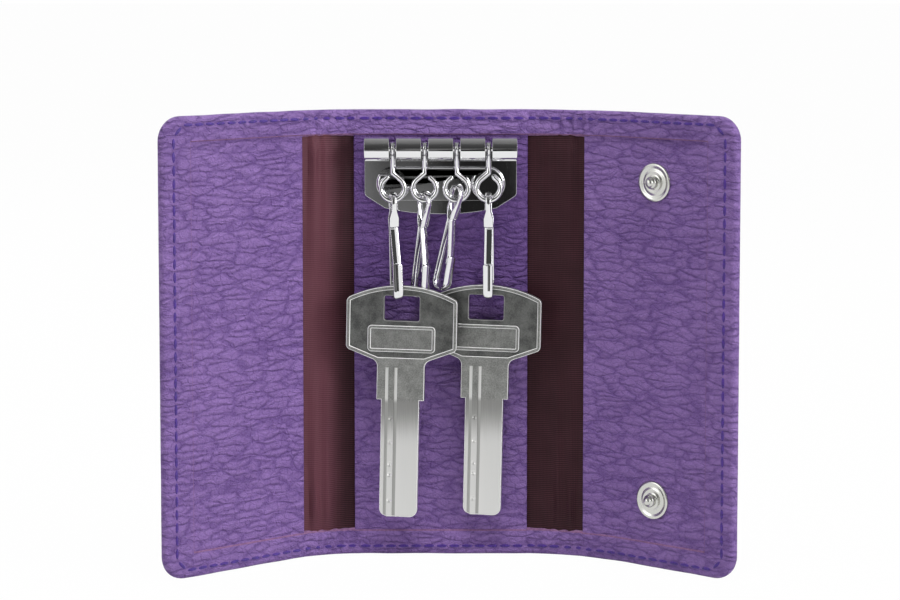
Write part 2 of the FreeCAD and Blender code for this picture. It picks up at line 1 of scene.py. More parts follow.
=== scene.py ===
import json
import math
import bmesh
import bpy
from mathutils import Matrix, Vector, noise
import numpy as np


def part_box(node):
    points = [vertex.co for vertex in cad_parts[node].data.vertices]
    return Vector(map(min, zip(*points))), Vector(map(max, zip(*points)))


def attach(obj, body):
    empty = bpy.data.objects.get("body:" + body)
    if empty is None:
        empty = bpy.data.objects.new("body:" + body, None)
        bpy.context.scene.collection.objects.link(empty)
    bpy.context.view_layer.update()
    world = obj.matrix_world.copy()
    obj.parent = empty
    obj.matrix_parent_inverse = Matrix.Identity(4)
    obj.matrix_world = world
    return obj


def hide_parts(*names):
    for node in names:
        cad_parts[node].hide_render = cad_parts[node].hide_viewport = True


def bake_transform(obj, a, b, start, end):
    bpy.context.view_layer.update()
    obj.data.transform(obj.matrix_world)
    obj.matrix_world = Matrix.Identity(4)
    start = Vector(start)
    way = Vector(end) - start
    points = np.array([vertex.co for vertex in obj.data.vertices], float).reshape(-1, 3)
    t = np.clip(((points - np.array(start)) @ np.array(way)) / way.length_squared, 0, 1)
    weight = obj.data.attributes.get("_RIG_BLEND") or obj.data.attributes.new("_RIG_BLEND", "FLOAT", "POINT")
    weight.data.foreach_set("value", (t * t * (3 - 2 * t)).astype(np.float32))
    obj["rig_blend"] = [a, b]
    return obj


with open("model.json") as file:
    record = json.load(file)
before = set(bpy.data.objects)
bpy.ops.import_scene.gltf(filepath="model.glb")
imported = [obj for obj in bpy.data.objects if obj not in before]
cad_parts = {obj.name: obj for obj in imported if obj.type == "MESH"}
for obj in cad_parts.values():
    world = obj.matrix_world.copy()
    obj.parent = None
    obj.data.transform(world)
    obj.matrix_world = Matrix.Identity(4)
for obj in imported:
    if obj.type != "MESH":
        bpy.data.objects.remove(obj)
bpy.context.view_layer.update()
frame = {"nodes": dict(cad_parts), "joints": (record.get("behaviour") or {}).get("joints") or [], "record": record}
joints = {joint["name"]: joint for joint in frame["joints"]}

# Sizes in metres. Leather pieces are shaped flat, as (along, y, up), and then folded up.
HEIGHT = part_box("centre_cover")[1].z
COVER_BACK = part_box("centre_cover")[1].y
LEFT_FLAP = 0.0395
RIGHT_FLAP = 0.0374
CORNER_RADIUS = 0.0055
EDGE_ROUND = 0.00112
FACING_FRONT = -0.0007
HEM_FRONT = -0.00115
LOW_HEM_FRONT = -0.00055
COVER_FLOOR = 0.00025
HEM_SIDE = 0.0078
HEM_END = 0.0057
HEM_LIP = 0.00012
HEM_WALL = 0.0006
TUCK = 0.0016
CENTRE_FACING_HALF = 0.0203
FACING_LAP = 0.0046
FACING_ROUND = 0.00022
LINING_THICKNESS = 0.00012
BEND_REACH_LEFT = 0.0050
BEND_REACH_RIGHT = 0.0060
CENTRE_SPLIT = 0.0150
GRID_STEP = 0.0016
FACING_FADE = 0.0008
RIM_REACH = 0.003
WELD = 0.000002

# Gathers in the hem, where it goes round the bends
GATHER_STEP = 0.0005
GATHER_REACH = 0.003
GATHER_PITCH = 0.0025
GATHER_DEPTH = 0.00026
GATHER_FADE = 0.002
GATHER_SPREAD_LEFT = 0.006
GATHER_SPREAD_RIGHT = 0.007

# Press studs
SOCKET_INSET = 0.0080
STUD_REACH = 0.0149
SNAP_UP = 0.0158
WELL_RADIUS = 0.0028
WELL_FLOOR = -0.0001
WELL_BACKING = -0.0003

# Seam
SEAM_SIDE = 0.0031
SEAM_END = 0.0020
SEAM_CORNER = 0.0026
STITCH_PITCH = 0.0030
STITCH_LENGTH = 0.0025
STITCH_WIDTH = 0.00080
STITCH_RISE = 0.00028


class Crease:
    """A soft bend between two flat panels, from their flat place and where they meet when folded."""

    def __init__(self, flat, corner, before, after, reach):
        self.flat = flat
        self.corner = Vector((corner[0], corner[1]))
        self.before = Vector((math.cos(before), math.sin(before)))
        self.after = Vector((math.cos(after), math.sin(after)))
        self.reach = reach

    def covers(self, along):
        return abs(along - self.flat) < self.reach

    def bend(self, along):
        """The folded line's point and heading at a flat place within reach of the crease."""
        t = (along - self.flat + self.reach) / (2 * self.reach)
        start = self.corner - self.before * self.reach
        end = self.corner + self.after * self.reach
        point = start * (1 - t) ** 2 + self.corner * (2 * t * (1 - t)) + end * t ** 2
        heading = (self.corner - start) * (1 - t) + (end - self.corner) * t
        return point, heading.normalized()


def make_creases():
    """The four creases from left to right, at the joints' places and rest angles."""
    left_turn = -math.radians(joints["left_spine_fold"]["range_deg"][0])
    right_turn = math.radians(joints["right_spine_fold"]["range_deg"][0])
    places = {name: Vector(joint["pos_m"][:2]) for name, joint in joints.items()}
    left_in = places["left_spine_fold"]
    left_out = places["left_flap_fold"]
    right_in = places["right_spine_fold"]
    right_out = places["right_flap_fold"]
    left_spine = (left_out - left_in).length
    right_spine = (right_out - right_in).length
    return [
        Crease(left_in.x - left_spine, left_out, 2 * left_turn, left_turn, BEND_REACH_LEFT),
        Crease(left_in.x, left_in, left_turn, 0, BEND_REACH_LEFT),
        Crease(right_in.x, right_in, 0, right_turn, BEND_REACH_RIGHT),
        Crease(right_in.x + right_spine, right_out, right_turn, 2 * right_turn, BEND_REACH_RIGHT),
    ]


creases = make_creases()
FLAT_START = creases[0].flat - LEFT_FLAP
FLAT_END = creases[3].flat + RIGHT_FLAP
LEFT_SPLIT = (creases[0].flat + creases[1].flat) / 2
RIGHT_SPLIT = (creases[2].flat + creases[3].flat) / 2
LEFT_FACING_EDGE = creases[0].flat
RIGHT_FACING_EDGE = creases[3].flat - FACING_LAP
SOCKET_ALONG = FLAT_START + SOCKET_INSET
STUD_ALONG = creases[3].flat + STUD_REACH
LINING_STRIPS = [(LEFT_FACING_EDGE, -CENTRE_FACING_HALF), (CENTRE_FACING_HALF, RIGHT_FACING_EDGE)]


def folded(point):
    """Where a point of the flat layout comes to lie on the standing case."""
    along = point.x
    for crease in creases:
        if crease.covers(along):
            place, heading = crease.bend(along)
            break
    else:
        crease = creases[0] if along < creases[1].flat else creases[3]
        if creases[0].flat < along < creases[3].flat:
            crease = creases[1] if along < creases[2].flat else creases[2]
        heading = crease.before if along < crease.flat else crease.after
        place = crease.corner + heading * (along - crease.flat)
    return Vector((place.x - heading.y * point.y, place.y + heading.x * point.y, point.z))


def smooth_step(value, low, high):
    t = min(max((value - low) / (high - low), 0), 1)
    return t * t * (3 - 2 * t)


def bell(value, middle, width):
    return math.exp(-((value - middle) / width) ** 2)


# Each region is one stretch of the flat layout, and bends across one crease or rides on the centre panel.
REGIONS = {
    "left_flap": (FLAT_START, LEFT_SPLIT, creases[0], "left_flap", "left_spine"),
    "left_bend": (LEFT_SPLIT, -CENTRE_SPLIT, creases[1], "left_spine", "centre"),
    "centre": (-CENTRE_SPLIT, CENTRE_SPLIT, None, "centre", "centre"),
    "right_bend": (CENTRE_SPLIT, RIGHT_SPLIT, creases[2], "centre", "right_spine"),
    "right_flap": (RIGHT_SPLIT, FLAT_END, creases[3], "right_spine", "right_flap"),
}


# Shader maths
class Value:
    """A shader socket. Python operators on it add Math nodes to its material."""

    def __init__(self, tree, socket=None):
        self.tree = tree
        self.socket = socket

    def node(self, kind, settings, sockets, output=0):
        """Adds a node: its settings first, then the values or links of its sockets."""
        made = self.tree.nodes.new(kind)
        for name, value in settings.items():
            setattr(made, name, value)
        for name, value in sockets.items():
            if isinstance(value, Value):
                self.tree.links.new(value.socket, made.inputs[name])
            else:
                made.inputs[name].default_value = value
        return Value(self.tree, made.outputs[output])

    def other(self, output):
        """Another output of the same node."""
        return Value(self.tree, self.socket.node.outputs[output])

    def maths(self, operation, *values):
        return self.node("ShaderNodeMath", {"operation": operation}, dict(enumerate(values)))

    def __add__(self, other):
        return self.maths("ADD", self, other)

    __radd__ = __add__

    def __sub__(self, other):
        return self.maths("SUBTRACT", self, other)

    def __rsub__(self, other):
        return self.maths("SUBTRACT", other, self)

    def __mul__(self, other):
        return self.maths("MULTIPLY", self, other)

    __rmul__ = __mul__

    def wave(self):
        """A wave from 0 to 1, once in each turn."""
        return self.maths("SINE", self) * 0.5 + 0.5

    def between(self, low, high):
        """0 below low, 1 above high, and smooth between them."""
        settings = {"interpolation_type": "SMOOTHSTEP"}
        sockets = {"Value": self, "From Min": low, "From Max": high}
        return self.node("ShaderNodeMapRange", settings, sockets)

    def vector(self, operation, other):
        return self.node("ShaderNodeVectorMath", {"operation": operation}, {0: self, 1: other})

    def stretched(self, sizes):
        """A place divided by the size of one repeat along each axis."""
        return self.vector("MULTIPLY", [1 / size for size in sizes])

    def wandering(self, scale, reach):
        """A place moved about by smooth noise, by up to the reach along each axis."""
        drift = self.noise(scale, 2.0, "Color").vector("SUBTRACT", (0.5, 0.5, 0.5))
        return self.vector("ADD", drift.vector("MULTIPLY", [2 * part for part in reach]))

    def noise(self, scale, detail=2.0, output="Fac"):
        sockets = {"Vector": self, "Scale": scale, "Detail": detail}
        return self.node("ShaderNodeTexNoise", {}, sockets, output)

    def cell_edges(self):
        settings = {"feature": "DISTANCE_TO_EDGE"}
        return self.node("ShaderNodeTexVoronoi", settings, {"Vector": self, "Scale": 1.0}, "Distance")

    def mix(self, first, second):
        """Two colours, mixed by this value."""
        settings = {"data_type": "RGBA", "clamp_factor": True}
        return self.node("ShaderNodeMix", settings, {0: self, 6: first, 7: second}, 2)


def colour(red, green, blue):
    """A colour written as it looks on a screen, 0 to 255, as the shader's linear one."""
    parts = [part / 255 for part in (red, green, blue)]
    return (*[p / 12.92 if p < 0.04045 else ((p + 0.055) / 1.055) ** 2.4 for p in parts], 1.0)


def grey(level):
    return (level, level, level, 1.0)


def new_finish(name, constants):
    """A material with one principled shader, its plain settings, and a starting point for its maths."""
    material = bpy.data.materials.new(name)
    material.use_nodes = True
    shader = material.node_tree.nodes["Principled BSDF"]
    for socket, value in constants.items():
        shader.inputs[socket].default_value = value
    return material, shader, Value(material.node_tree)


def connect(shader, links):
    for name, value in links.items():
        value.tree.links.new(value.socket, shader.inputs[name])


def bump(height, depth, strength):
    sockets = {"Height": height, "Distance": depth, "Strength": strength}
    return height.node("ShaderNodeBump", {}, sockets, "Normal")


def attribute(start, name, output):
    return start.node("ShaderNodeAttribute", {"attribute_name": name}, {}, output)


def object_place(start):
    return start.node("ShaderNodeTexCoord", {}, {}, "Object")


LONG_CREASE = (0.0076, 0.0076, 0.0020)
CROSS_CREASE = (0.0022, 0.0022, 0.0013)
FINE_GRAIN = (0.0008, 0.0008, 0.0005)
WAVE = (0.0080, 0.0080, 0.0016)
WANDER_SCALE = 230.0
WANDER_REACH = (0.0012, 0.0012, 0.0008)
LEATHER_LIGHT = colour(153, 121, 186)
LEATHER_DARK = colour(98, 70, 133)
# Painted shade: the darker colours of the centre panel's leather behind the hardware, and the heights over which
# they come in.
PAINTED_SHADE_LIGHT = colour(122, 90, 156)
PAINTED_SHADE_DARK = colour(78, 52, 111)
PAINTED_SHADE_START = 0.056
PAINTED_SHADE_FULL = 0.062
LEATHER_RELIEF = 0.00085


def pebbled_leather(name, painted_shade):
    """Grained leather: soft pebbles between long level creases, crossed by finer creases, with pores.

    With the second argument at 1, what lies behind the hardware is painted darker, as painted shade.
    """
    material, shader, start = new_finish(name, {"Specular IOR Level": 0.25})
    place = attribute(start, "flat", "Vector")
    grown = place.wandering(WANDER_SCALE, WANDER_REACH)
    apart = grown.stretched(LONG_CREASE).cell_edges()
    long_creases = apart.between(0.0, 0.16)
    cross_creases = grown.stretched(CROSS_CREASE).cell_edges().between(0.0, 0.18)
    fine = place.stretched(FINE_GRAIN).cell_edges().between(0.0, 0.3)
    waves = grown.stretched(WAVE).noise(1.0, 1.0)
    pores = place.noise(5200.0)
    patches = place.noise(60.0)
    height = (
        long_creases * 0.24 + cross_creases * 0.16 + apart.between(0.0, 0.5) * 0.30
        + waves * 0.55 + fine * 0.10 + pores * 0.15
    )
    # The creases are painted darker than the pebbles: partly the grain's own tone, partly painted shade in the
    # creases.
    tone = long_creases * 0.15 + cross_creases * 0.08 + waves * 0.16 + patches * 0.2 + pores * 0.46
    shade = tone.between(0.27, 0.79)
    up = place.node("ShaderNodeSeparateXYZ", {}, {"Vector": place}, "Z")
    # Painted shade from the given height up, where the hardware stands before the panel.
    painted_shade_share = up.between(PAINTED_SHADE_START, PAINTED_SHADE_FULL) * painted_shade
    unshaded_colour = shade.mix(LEATHER_DARK, LEATHER_LIGHT)
    shaded_colour = shade.mix(PAINTED_SHADE_DARK, PAINTED_SHADE_LIGHT)
    connect(shader, {
        "Base Color": painted_shade_share.mix(unshaded_colour, shaded_colour),
        "Roughness": 0.6 - long_creases * 0.06 + pores * 0.1,
        "Normal": bump(height, LEATHER_RELIEF, 1.0),
    })
    return material


def raw_edge(name, light, dark):
    """The cut edge of the turned leather, where its paler fibre shows."""
    material, shader, start = new_finish(name, {"Roughness": 0.85})
    fibre = attribute(start, "flat", "Vector").noise(1800.0, 3.0)
    connect(shader, {
        "Base Color": fibre.between(0.3, 0.7).mix(dark, light),
        "Normal": bump(fibre, 0.0001, 0.6),
    })
    return material


def seam_thread(name, light, dark):
    """Twisted sewing thread."""
    material, shader, start = new_finish(name, {"Roughness": 0.5, "Sheen Weight": 0.2})
    twist = attribute(start, "flat", "Vector").noise(2600.0)
    connect(shader, {
        "Base Color": twist.between(0.3, 0.7).mix(dark, light),
        "Normal": bump(twist, 0.00008, 0.8),
    })
    return material


RIB = 0.00046
RIB_CROSS = 0.00034
# Where the lining's painted shade comes in, along the flat layout.
CLOTH_SHADE_START = -0.0285
CLOTH_SHADE_FULL = -0.0215


def ribbed_cloth(name, light, dark):
    """Fine lining: level ribs crossed by finer threads, painted darker as painted shade from the left strip's
    inner part on, over the right strip too.
    """
    material, shader, start = new_finish(name, {"Specular IOR Level": 0.15})
    place = attribute(start, "flat", "Vector")
    along = place.node("ShaderNodeSeparateXYZ", {}, {"Vector": place}, "X")
    ribs = (along.other("Z") * (math.tau / RIB) + place.noise(700.0) * 1.6).wave()
    cross = (along * (math.tau / RIB_CROSS) + ribs * 1.2).wave()
    weave = ribs * 0.7 + cross * 0.3
    # Random tone, less the painted shade from the left strip's inner part on.
    tone_and_shade = place.noise(130.0) * 0.4 + 0.7 - along.between(CLOTH_SHADE_START, CLOTH_SHADE_FULL) * 0.85
    connect(shader, {
        "Base Color": (weave * 0.5 + tone_and_shade * 0.6).between(0.05, 1.05).mix(dark, light),
        "Roughness": 0.55 - weave * 0.12,
        "Normal": bump(weave, 0.00006, 0.7),
    })
    return material


def plated_metal(name, tone, roughness, smear, crown=0.0):
    """Bright plating, with faint uneven polish. Bent strips are crowned across their width."""
    material, shader, start = new_finish(name, {"Base Color": tone, "Metallic": 1.0})
    place = object_place(start)
    haze = place.noise(240.0, 3.0)
    scuffs = place.stretched((0.0004, 0.0004, 0.006)).noise(1.0, 3.0)
    across = attribute(start, "across", "Fac")
    connect(shader, {
        "Roughness": roughness + (haze * 0.6 + scuffs * 0.4).between(0.45, 0.85) * smear,
        "Normal": bump(haze * 0.000005 - across * across * crown, 1.0, 1.0),
    })
    return material


BLADE_FADE = 0.0010
NECK_FADE = 0.0004
MILLED_FADE = 0.0130
BLADE_LENGTH = 0.0276


def key_metal(name, shoulder):
    """Nickelled key: a blasted recess, a speckled neck, worn edges with a painted highlight and a bare milled
    blade.
    """
    material, shader, start = new_finish(name, {})
    place = object_place(start)
    up = place.node("ShaderNodeSeparateXYZ", {}, {"Vector": place}, "Z")
    blade = 1 - up.between(shoulder - BLADE_FADE, shoulder + NECK_FADE)
    fade = 1 - up.between(shoulder - MILLED_FADE, shoulder)
    raised = attribute(start, "raised", "Fac")
    wear_and_highlight = attribute(start, "wear_and_highlight", "Fac")
    groove = attribute(start, "groove", "Fac")
    grit = place.noise(3600.0, 3.0)
    stains = place.noise(420.0, 4.0)
    brushed = place.stretched((0.00016, 0.002, 0.009)).noise(1.0, 3.0)
    recess = (stains * 0.6 + grit * 0.4).between(0.3, 0.7).mix(colour(80, 81, 80), colour(122, 123, 121))
    speckle = (stains * 0.4 + grit * 0.6).between(0.3, 0.7)
    plain = speckle.mix(colour(122, 123, 121), colour(164, 165, 162))
    polish = (fade * 0.75 + brushed * 0.25).between(0.05, 0.9)
    milled = polish.mix(colour(148, 148, 146), colour(222, 222, 220))
    channel = blade.mix(colour(240, 240, 238), colour(176, 176, 174))
    body = groove.mix(blade.mix(raised.mix(recess, plain), milled), channel)
    connect(shader, {
        # Painted highlight: the worn edges are painted near-white and made less metallic.
        "Base Color": wear_and_highlight.mix(body, colour(252, 252, 250)),
        "Metallic": 1 - wear_and_highlight * 0.7,
        "Roughness": 0.46 - raised * 0.06 - blade * 0.06 - wear_and_highlight * 0.1 + stains * 0.08,
        "Normal": bump(grit * (1 - blade) + brushed * blade * 0.7, 0.00003, 0.5),
    })
    return material


KEY_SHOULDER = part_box("left_key")[0].z + BLADE_LENGTH
BRIGHT = (0.80, 0.80, 0.81, 1)
STRIP_CROWN = 0.00018
LEATHER = pebbled_leather("pebbled_leather", 0.0)
LEATHER_WITH_PAINTED_SHADE = pebbled_leather("leather_with_painted_shade", 1.0)
EDGE = raw_edge("raw_leather_edge", colour(148, 107, 147), colour(119, 82, 123))
THREAD = seam_thread("seam_thread", colour(76, 34, 146), colour(50, 18, 112))
CLOTH = ribbed_cloth("ribbed_lining", colour(106, 62, 73), colour(36, 15, 20))
CHROME = plated_metal("bright_chrome", BRIGHT, 0.05, 0.06)
STRIP = plated_metal("strip_chrome", BRIGHT, 0.05, 0.06, STRIP_CROWN)
NICKEL = plated_metal("snap_nickel", (0.60, 0.60, 0.57, 1), 0.20, 0.1)
KEY_METAL = key_metal("key_nickel", KEY_SHOULDER)


# Meshes
CREASED = 40
ROUND = 180


def add_piece(name, bm, finishes, sharp_degrees=CREASED):
    """A visible piece, shaded smooth but for edges that turn by more than the angle."""
    mesh = bpy.data.meshes.new(name)
    bm.to_mesh(mesh)
    bm.free()
    for finish in finishes:
        mesh.materials.append(finish)
    mesh.shade_smooth()
    mesh.set_sharp_from_angle(angle=math.radians(sharp_degrees))
    piece = bpy.data.objects.new(name, mesh)
    bpy.context.scene.collection.objects.link(piece)
    return piece


def everything(bm):
    return bm.verts[:] + bm.edges[:] + bm.faces[:]


def only_verts(made):
    return [part for part in made if isinstance(part, bmesh.types.BMVert)]


def slice_along(bm, axis, places):
    for place in places:
        bmesh.ops.bisect_plane(bm, geom=everything(bm), dist=WELD, plane_co=axis * place, plane_no=axis)


def steps(low, high, step):
    """Places strictly between two ends, evenly spread."""
    count = max(int((high - low) / step), 1)
    return [low + (high - low) * n / count for n in range(1, count)]


def slice_up(bm):
    """Fine enough slices to bend and wrinkle the sheet, both ways."""
    low = Vector([min(v.co[n] for v in bm.verts) for n in range(3)])
    high = Vector([max(v.co[n] for v in bm.verts) for n in range(3)])
    slice_along(bm, Vector((1, 0, 0)), steps(low.x, high.x, GRID_STEP))
    slice_along(bm, Vector((0, 0, 1)), steps(low.z, high.z, GRID_STEP))


def slab(low, high, rounding, segments):
    """A rounded block between two corners of the flat layout."""
    bm = bmesh.new()
    bmesh.ops.create_cube(bm, size=1)
    bmesh.ops.scale(bm, vec=high - low, verts=bm.verts)
    bmesh.ops.translate(bm, vec=(low + high) / 2, verts=bm.verts)
    bmesh.ops.bevel(
        bm, geom=bm.edges[:], offset=rounding, affect="EDGES", segments=segments, profile=0.5, material=-1
    )
    return bm


def facing_share(along):
    """1 where a leather facing lies under the hem, and 0 over the bare lining."""
    centre = smooth_step(CENTRE_FACING_HALF + FACING_FADE - abs(along), 0, 2 * FACING_FADE)
    left = smooth_step(LEFT_FACING_EDGE + FACING_FADE - along, 0, 2 * FACING_FADE)
    right = smooth_step(along - RIGHT_FACING_EDGE + FACING_FADE, 0, 2 * FACING_FADE)
    return max(centre, left, right)


def gathers(along):
    """Small upright gathers where the turned edge goes round the bends."""
    left = bell(along, LEFT_SPLIT, GATHER_SPREAD_LEFT)
    right = bell(along, RIGHT_SPLIT, GATHER_SPREAD_RIGHT)
    drift = 2.2 * noise.noise(Vector((along * 300, 0, 0)))
    return (left + right) * math.sin(math.tau * along / GATHER_PITCH + drift)


def unevenness(along, up, scale, depth):
    """Smooth dents and swellings, finer with a larger scale."""
    return depth * noise.noise(Vector((along * scale, up * scale, scale)))


# Places in the cover's list of finishes, and how squarely a face looks forward or back.
RAW_EDGE = 1
WELL_METAL = 2
FACING = 0.9


def cover_sheet():
    """The whole outer leather laid flat: a rounded sheet, turned over along all its edges."""
    bm = bmesh.new()
    corners = [(FLAT_START, 0), (FLAT_END, 0), (FLAT_END, HEIGHT), (FLAT_START, HEIGHT)]
    bm.faces.new([bm.verts.new((along, COVER_BACK, up)) for along, up in corners])
    bmesh.ops.bevel(
        bm, geom=bm.verts[:], offset=CORNER_RADIUS, affect="VERTICES", segments=10, profile=0.5,
        material=-1,
    )
    made = bmesh.ops.extrude_face_region(bm, geom=bm.faces[:])["geom"]
    bmesh.ops.translate(bm, vec=(0, HEM_FRONT - COVER_BACK, 0), verts=only_verts(made))
    bmesh.ops.recalc_face_normals(bm, faces=bm.faces[:])
    rims = [edge for edge in bm.edges if abs(edge.verts[0].co.y - edge.verts[1].co.y) < WELD]
    bmesh.ops.bevel(
        bm, geom=rims, offset=EDGE_ROUND, affect="EDGES", segments=5, profile=0.5, material=-1
    )
    slice_along(bm, Vector((1, 0, 0)), [FLAT_START + HEM_SIDE, FLAT_END - HEM_SIDE])
    slice_along(bm, Vector((0, 0, 1)), [HEM_END, HEIGHT - HEM_END])
    slice_up(bm)
    slice_along(bm, Vector((1, 0, 0)), [LEFT_SPLIT, -CENTRE_SPLIT, CENTRE_SPLIT, RIGHT_SPLIT])
    for low, high in LINING_STRIPS:
        slice_along(bm, Vector((1, 0, 0)), steps(low - GATHER_REACH, high + GATHER_REACH, GATHER_STEP))
    front = [face for face in bm.faces if face.normal.y < -FACING]
    open_faces = [face for face in front if inside_hem(face.calc_center_median())]
    walls = bmesh.ops.inset_region(
        bm, faces=open_faces, thickness=HEM_WALL, depth=HEM_FRONT - COVER_FLOOR, use_even_offset=True
    )["faces"]
    for face in walls:
        face.material_index = RAW_EDGE
    lips = {edge for face in walls for edge in face.edges if is_lip(edge, walls)}
    bmesh.ops.bevel(
        bm, geom=list(lips), offset=HEM_LIP, affect="EDGES", segments=2, profile=0.5, material=RAW_EDGE
    )
    for up in (SNAP_UP, HEIGHT - SNAP_UP):
        sink_well(bm, Vector((SOCKET_ALONG, COVER_BACK, up)))
    for vert in bm.verts:
        shape_cover(vert)
    return bm


def sink_well(bm, middle):
    """A metal-floored well in the outside of the flap, under a socket's flange."""
    backing_reach = WELL_RADIUS + 2 * GRID_STEP
    for vert in bm.verts:
        if abs(vert.co.y - COVER_FLOOR) < WELD and (vert.co - middle).length < backing_reach:
            vert.co.y = WELL_BACKING
    outside = [face for face in bm.faces if face.normal.y > FACING]
    under = [face for face in outside if over_well(face.calc_center_median(), middle)]
    made = bmesh.ops.extrude_face_region(bm, geom=under)["geom"]
    bmesh.ops.translate(bm, vec=(0, WELL_FLOOR - COVER_BACK, 0), verts=only_verts(made))
    for part in made:
        if isinstance(part, bmesh.types.BMFace):
            part.material_index = WELL_METAL
    bmesh.ops.delete(bm, geom=under, context="FACES")


def over_well(point, middle):
    return (point - middle).length < WELL_RADIUS and point.y > COVER_BACK / 2


def inside_hem(point):
    within = FLAT_START + HEM_SIDE < point.x < FLAT_END - HEM_SIDE
    return within and HEM_END < point.z < HEIGHT - HEM_END


def is_lip(edge, walls):
    level = all(abs(vert.co.y - HEM_FRONT) < WELD for vert in edge.verts)
    return level and any(face not in walls for face in edge.link_faces)


def hem_surface(along, up):
    """How far forward the hem's face lies."""
    front = LOW_HEM_FRONT + (HEM_FRONT - LOW_HEM_FRONT) * facing_share(along)
    edge = min(up, HEIGHT - up)
    ripple = 0
    if edge < HEM_END + HEM_WALL:
        ripple = GATHER_DEPTH * gathers(along) * smooth_step(edge, 0, GATHER_FADE)
    return front + ripple + unevenness(along, up, 190, 0.00007)


def back_surface(along, up):
    return COVER_BACK + unevenness(along, up, 110, 0.00009)


def shape_cover(vert):
    """Lowers the hem over the bare lining, and makes the sheet a little uneven."""
    along, depth, up = vert.co
    if depth < 0:
        vert.co.y *= hem_surface(along, up) / HEM_FRONT
    elif depth > COVER_BACK / 2:
        vert.co.y *= back_surface(along, up) / COVER_BACK
    rim = smooth_step(RIM_REACH - min(up, HEIGHT - up), 0, RIM_REACH)
    vert.co.z += rim * unevenness(along, 0.02 if up < HEIGHT / 2 else 0.3, 140, 0.00012)


def fold_up(bm):
    """Notes each point's flat place for the finishes, and folds the sheet up."""
    layer = bm.verts.layers.float_vector.new("flat")
    for vert in bm.verts:
        vert[layer] = vert.co
        vert.co = folded(vert.co)


def cut_region(bm, region):
    """A copy of a flat sheet, kept only within one region, with its cut sides closed."""
    low, high = REGIONS[region][:2]
    part = bm.copy()
    axis = Vector((1, 0, 0))
    for place, options in ((low, {"clear_inner": True}), (high, {"clear_outer": True})):
        bmesh.ops.bisect_plane(
            part, geom=everything(part), dist=WELD, plane_co=axis * place, plane_no=axis, **options
        )
    bmesh.ops.holes_fill(part, edges=[edge for edge in part.edges if edge.is_boundary], sides=0)
    bmesh.ops.recalc_face_normals(part, faces=part.faces[:])
    return part


def hold(piece, region):
    """Bends a piece across its region's crease, or lets it ride on the centre panel."""
    crease, first, second = REGIONS[region][2:]
    if crease is None:
        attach(piece, first)
        return
    start = folded(Vector((crease.flat - crease.reach, 0, HEIGHT / 2)))
    end = folded(Vector((crease.flat + crease.reach, 0, HEIGHT / 2)))
    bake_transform(piece, first, second, start=start, end=end)


def dress(sheet, kind, regions, finishes):
    """Cuts a flat sheet into its regions' pieces, each folded up and standing for its nodes."""
    pieces = {}
    for region, nodes in regions.items():
        part = cut_region(sheet, region)
        fold_up(part)
        piece = add_piece(f"{region}_{kind}", part, finishes)
        hold(piece, region)
        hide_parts(*nodes)
        pieces[region] = piece
    sheet.free()
    return pieces


def make_cover():
    nodes = {
        "left_flap": ["left_flap_cover", "left_flap_stiffener"],
        "left_bend": ["left_spine_cover", "left_spine_backing"],
        "centre": ["centre_cover", "centre_stiffener"],
        "right_bend": ["right_spine_cover", "right_spine_backing"],
        "right_flap": ["right_flap_cover", "right_flap_stiffener"],
    }
    dress(cover_sheet(), "leather", nodes, [LEATHER, EDGE, NICKEL])


def facing_sheet(low_along, high_along):
    """An inner panel of leather, tucked under the hem, with its free edges lightly rounded."""
    low = Vector((low_along, FACING_FRONT, TUCK))
    high = Vector((high_along, 0, HEIGHT - TUCK))
    bm = slab(low, high, FACING_ROUND, 3)
    slice_up(bm)
    for vert in bm.verts:
        if vert.co.y < FACING_FRONT / 2:
            vert.co.y += unevenness(vert.co.x, vert.co.z, 150, 0.00007)
    return bm


def make_facings():
    left = facing_sheet(FLAT_START + TUCK, LEFT_FACING_EDGE)
    dress(left, "panel", {"left_flap": ["left_flap_facing"]}, [LEATHER])
    half = CENTRE_FACING_HALF
    middle = {"left_bend": [], "centre": ["centre_facing"], "right_bend": []}
    # The centre panel's leather has painted shade behind the hardware.
    dress(facing_sheet(-half, half), "panel", middle, [LEATHER_WITH_PAINTED_SHADE])
    right = facing_sheet(RIGHT_FACING_EDGE, FLAT_END - TUCK)
    nodes = ["right_flap_facing", "right_spine_facing_edge"]
    dress(right, "panel", {"right_flap": nodes}, [LEATHER])


LINING_REST = 0.00008
SLACK = 0.00075
PULL_LENGTH = 0.013
RIPPLE = 0.0003
RIPPLE_PITCH = 0.0031
LONG_FOLD = 0.00012
LONG_FOLD_PITCH = 0.0046
PLEAT = 0.0012
PLEATS = [(0.77, 0.06, 1.0), (0.56, 0.05, 0.5), (0.90, 0.05, -1.0)]
FREE_LENGTH = 0.0040
HELD_SHARE = 0.35
HELD_LIFT = 0.0003
FREE_LIFT = 0.0010
BOW_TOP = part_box("left_key")[1].z
BOW_LENGTH = 0.0185
BOW_MARGIN = 0.0070
BOW_PRESS = 0.7


def beside_bows(up):
    """1 beside the key bows, which lie close to the lining in the closed case."""
    low = BOW_TOP - BOW_LENGTH
    above = smooth_step(up, BOW_TOP, BOW_TOP + BOW_MARGIN)
    return smooth_step(up, low - BOW_MARGIN, low) * (1 - above)


